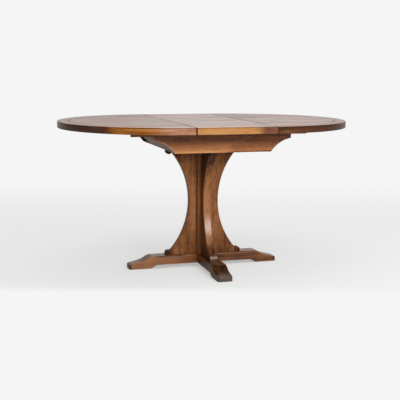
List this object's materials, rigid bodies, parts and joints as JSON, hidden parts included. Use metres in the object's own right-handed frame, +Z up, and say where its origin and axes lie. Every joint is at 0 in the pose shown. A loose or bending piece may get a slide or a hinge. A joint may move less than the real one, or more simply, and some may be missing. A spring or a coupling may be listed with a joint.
{
  "type": "extending dining table",
  "caption": "Pedestal dining table, round when closed, with D-shaped halves on wooden slides, a lift-out leaf, a coved frame and waisted fins on a crossed foot.",
  "frame": {"origin": "on the floor under the middle of the table", "axes": "+X the way the top extends, +Y to the back, +Z up"},
  "size_m": [1.45, 1.07, 0.74],
  "materials": {
    "top_veneer": "satin lacquer",
    "rim_wood": "satin lacquer",
    "frame_wood": "satin lacquer",
    "pedestal_wood": "satin lacquer",
    "inner_wood": "plain waxed wood",
    "screw_steel": "plain"
  },
  "bodies": {
    "base": {"batten_screws": "screw_steel", "bearer_left": "inner_wood", "bearer_right": "inner_wood", "bearer_screws": "screw_steel", "column": "pedestal_wood", "end_panel_left": "frame_wood", "end_panel_right": "frame_wood", "fin_dowels": "inner_wood", "fin_front": "pedestal_wood", "fin_left": "pedestal_wood", "fin_rear": "pedestal_wood", "fin_right": "pedestal_wood", "fin_screws": "screw_steel", "foot_beam_cross": "pedestal_wood", "foot_beam_long": "pedestal_wood", "front_batten_strip": "inner_wood", "front_guide_batten": "inner_wood", "front_rail": "frame_wood", "front_rail_strip": "inner_wood", "head_plate": "inner_wood", "rear_batten_strip": "inner_wood", "rear_guide_batten": "inner_wood", "rear_rail": "frame_wood", "rear_rail_strip": "inner_wood"},
    "left_half": {"left_cleat": "inner_wood", "left_cleat_screws": "screw_steel", "left_field": "top_veneer", "left_front_runner": "inner_wood", "left_rear_runner": "inner_wood", "left_rim_1": "rim_wood", "left_rim_2": "rim_wood", "left_rim_3": "rim_wood", "left_rim_4": "rim_wood", "left_runner_screws": "screw_steel"},
    "right_half": {"right_cleat": "inner_wood", "right_cleat_screws": "screw_steel", "right_field": "top_veneer", "right_front_runner": "inner_wood", "right_rear_runner": "inner_wood", "right_rim_1": "rim_wood", "right_rim_2": "rim_wood", "right_rim_3": "rim_wood", "right_rim_4": "rim_wood", "right_runner_screws": "screw_steel"},
    "leaf": {"leaf_cleat_left": "inner_wood", "leaf_cleat_right": "inner_wood", "leaf_cleat_screws": "screw_steel", "leaf_field": "top_veneer", "leaf_front_lipping": "rim_wood", "leaf_rear_lipping": "rim_wood"}
  },
  "joints": [
    {"name": "left_half_slide", "type": "slide", "parent": "base", "child": "left_half", "axis": [-1, 0, 0], "range_m": [0, 0.03]},
    {"name": "right_half_slide", "type": "slide", "parent": "base", "child": "right_half", "axis": [1, 0, 0], "range_m": [0, 0.03]},
    {"name": "leaf_lift", "type": "slide", "parent": "base", "child": "leaf", "axis": [0, 0, 1], "range_m": [0, 0.25]}
  ]
}
